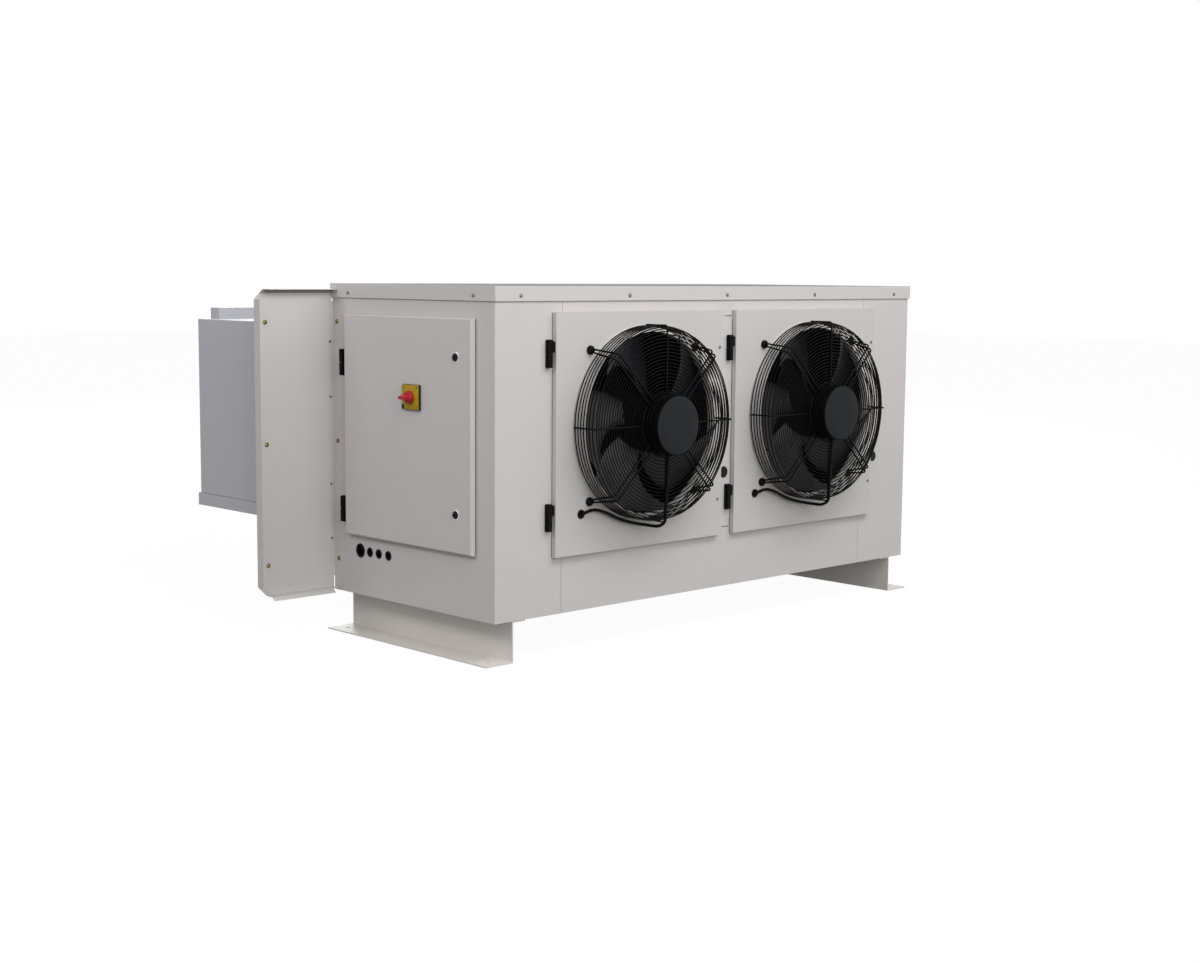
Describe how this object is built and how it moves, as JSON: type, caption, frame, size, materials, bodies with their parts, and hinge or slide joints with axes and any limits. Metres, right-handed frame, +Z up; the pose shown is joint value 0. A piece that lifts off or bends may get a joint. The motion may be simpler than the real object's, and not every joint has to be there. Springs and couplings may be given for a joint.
{
  "type": "monoblock refrigeration unit",
  "caption": "Wall-mounted cold-room cooling unit: grey condensing cabinet with caged axial fans on hinged doors, wall flange and fan-blown evaporator behind.",
  "frame": {"origin": "centre of the four fixing holes of the feet, at floor level", "axes": "+X to the right along the front, +Y from the front through the wall into the cold room, +Z up"},
  "size_m": [2.024, 1.24, 0.88],
  "materials": {
    "body_paint": "satin powder coat, light warm grey",
    "flange_paint": "satin powder coat, grey",
    "evaporator_paint": "satin powder coat, grey",
    "dark_strip": "matt dark sealing strip",
    "black_plastic": "fine texture, black",
    "grey_plastic": "moulded grey",
    "black_rubber": "matt black rubber",
    "cable_black": "smooth black sheath",
    "black_wire": "satin black coated wire",
    "motor_black": "satin black coat",
    "impeller_black": "satin black coat",
    "zinc": "zinc plated, slightly yellow",
    "chrome": "polished",
    "lock_insert": "dark die-cast metal",
    "yellow_plastic": "moulded yellow plate on a dark base",
    "red_plastic": "moulded red",
    "galvanised": "galvanised sheet",
    "fin_aluminium": "thin aluminium fins",
    "compressor_paint": "dark grey paint on cast iron and steel",
    "drier_paint": "painted steel can",
    "copper": "drawn copper tube",
    "brass": "turned brass",
    "insulation": "rigid insulating foam"
  },
  "bodies": {
    "chassis": {"base_tray": "body_paint", "casing_screws": "zinc", "closing_plugs": "black_rubber", "coil_shroud": "galvanised", "compressor": "compressor_paint", "compressor_mounts": "black_rubber", "condenser_coil": "fin_aluminium", "contactors": "grey_plastic", "controller": "black_plastic", "drain_spout": "black_plastic", "drip_tray": "evaporator_paint", "electrical_backplate": "galvanised", "evaporator_casing": "evaporator_paint", "evaporator_coil": "fin_aluminium", "evaporator_fan_panel": "evaporator_paint", "evaporator_guards": "black_wire", "evaporator_motors": "motor_black", "expansion_valve": "brass", "filter_drier": "drier_paint", "flange_edge_strip": "dark_strip", "flange_screws": "zinc", "foot_left": "body_paint", "foot_right": "body_paint", "frame_posts": "body_paint", "front_panel": "body_paint", "hinge_bases": "black_plastic", "liquid_receiver": "compressor_paint", "partition": "galvanised", "refrigerant_lines": "copper", "return_grille": "evaporator_paint", "roof_lid": "body_paint", "side_panel_left": "body_paint", "side_panel_right": "body_paint", "terminal_block": "grey_plastic", "wall_flange": "flange_paint", "wall_plug": "insulation"},
    "fan_door_left": {"fan_door_left": "body_paint", "fan_door_hinges_left": "black_plastic", "fan_door_screws_left": "zinc", "fan_guard_left": "black_wire", "fan_motor_left": "motor_black", "motor_cable_left": "cable_black"},
    "fan_door_right": {"fan_door_right": "body_paint", "fan_door_hinges_right": "black_plastic", "fan_door_screws_right": "zinc", "fan_guard_right": "black_wire", "fan_motor_right": "motor_black", "motor_cable_right": "cable_black"},
    "fan_rotor_left": {"fan_impeller_left": "impeller_black"},
    "fan_rotor_right": {"fan_impeller_right": "impeller_black"},
    "evaporator_rotor_1": {"evaporator_impeller_1": "impeller_black"},
    "evaporator_rotor_2": {"evaporator_impeller_2": "impeller_black"},
    "evaporator_rotor_3": {"evaporator_impeller_3": "impeller_black"},
    "electrical_door": {"electrical_door": "body_paint", "electrical_door_hinges": "black_plastic", "lock_bezels": "chrome", "disconnect_plate": "yellow_plastic"},
    "door_lock_upper": {"door_lock_upper": "lock_insert"},
    "door_lock_lower": {"door_lock_lower": "lock_insert"},
    "disconnect_knob": {"disconnect_knob": "red_plastic"}
  },
  "joints": [
    {"name": "fan_door_left_swing", "type": "hinge", "parent": "chassis", "child": "fan_door_left", "pos_m": [-0.623, -0.3225, 0.529], "axis": [0, 0, -1], "range_deg": [0, 100]},
    {"name": "fan_left_spin", "type": "hinge", "parent": "fan_door_left", "child": "fan_rotor_left", "pos_m": [-0.315, -0.33, 0.547], "axis": [0, -1, 0], "continuous": true},
    {"name": "fan_door_right_swing", "type": "hinge", "parent": "chassis", "child": "fan_door_right", "pos_m": [0.007, -0.3225, 0.529], "axis": [0, 0, -1], "range_deg": [0, 70]},
    {"name": "fan_right_spin", "type": "hinge", "parent": "fan_door_right", "child": "fan_rotor_right", "pos_m": [0.315, -0.33, 0.547], "axis": [0, -1, 0], "continuous": true},
    {"name": "evaporator_fan_1_spin", "type": "hinge", "parent": "chassis", "child": "evaporator_rotor_1", "pos_m": [-0.585, 0.713, 0.574], "axis": [0, 1, 0], "continuous": true},
    {"name": "evaporator_fan_2_spin", "type": "hinge", "parent": "chassis", "child": "evaporator_rotor_2", "pos_m": [0, 0.713, 0.574], "axis": [0, 1, 0], "continuous": true},
    {"name": "evaporator_fan_3_spin", "type": "hinge", "parent": "chassis", "child": "evaporator_rotor_3", "pos_m": [0.585, 0.713, 0.574], "axis": [0, 1, 0], "continuous": true},
    {"name": "electrical_door_swing", "type": "hinge", "parent": "chassis", "child": "electrical_door", "pos_m": [-0.7875, 0.2655, 0.529], "axis": [0, 0, -1], "range_deg": [0, 90]},
    {"name": "door_lock_upper_turn", "type": "hinge", "parent": "electrical_door", "child": "door_lock_upper", "pos_m": [-0.795, -0.191, 0.7135], "axis": [-1, 0, 0], "range_deg": [0, 90]},
    {"name": "door_lock_lower_turn", "type": "hinge", "parent": "electrical_door", "child": "door_lock_lower", "pos_m": [-0.795, -0.191, 0.3445], "axis": [-1, 0, 0], "range_deg": [0, 90]},
    {"name": "disconnect_turn", "type": "hinge", "parent": "electrical_door", "child": "disconnect_knob", "pos_m": [-0.795, -0.029, 0.6125], "axis": [-1, 0, 0], "range_deg": [0, 90]}
  ]
}
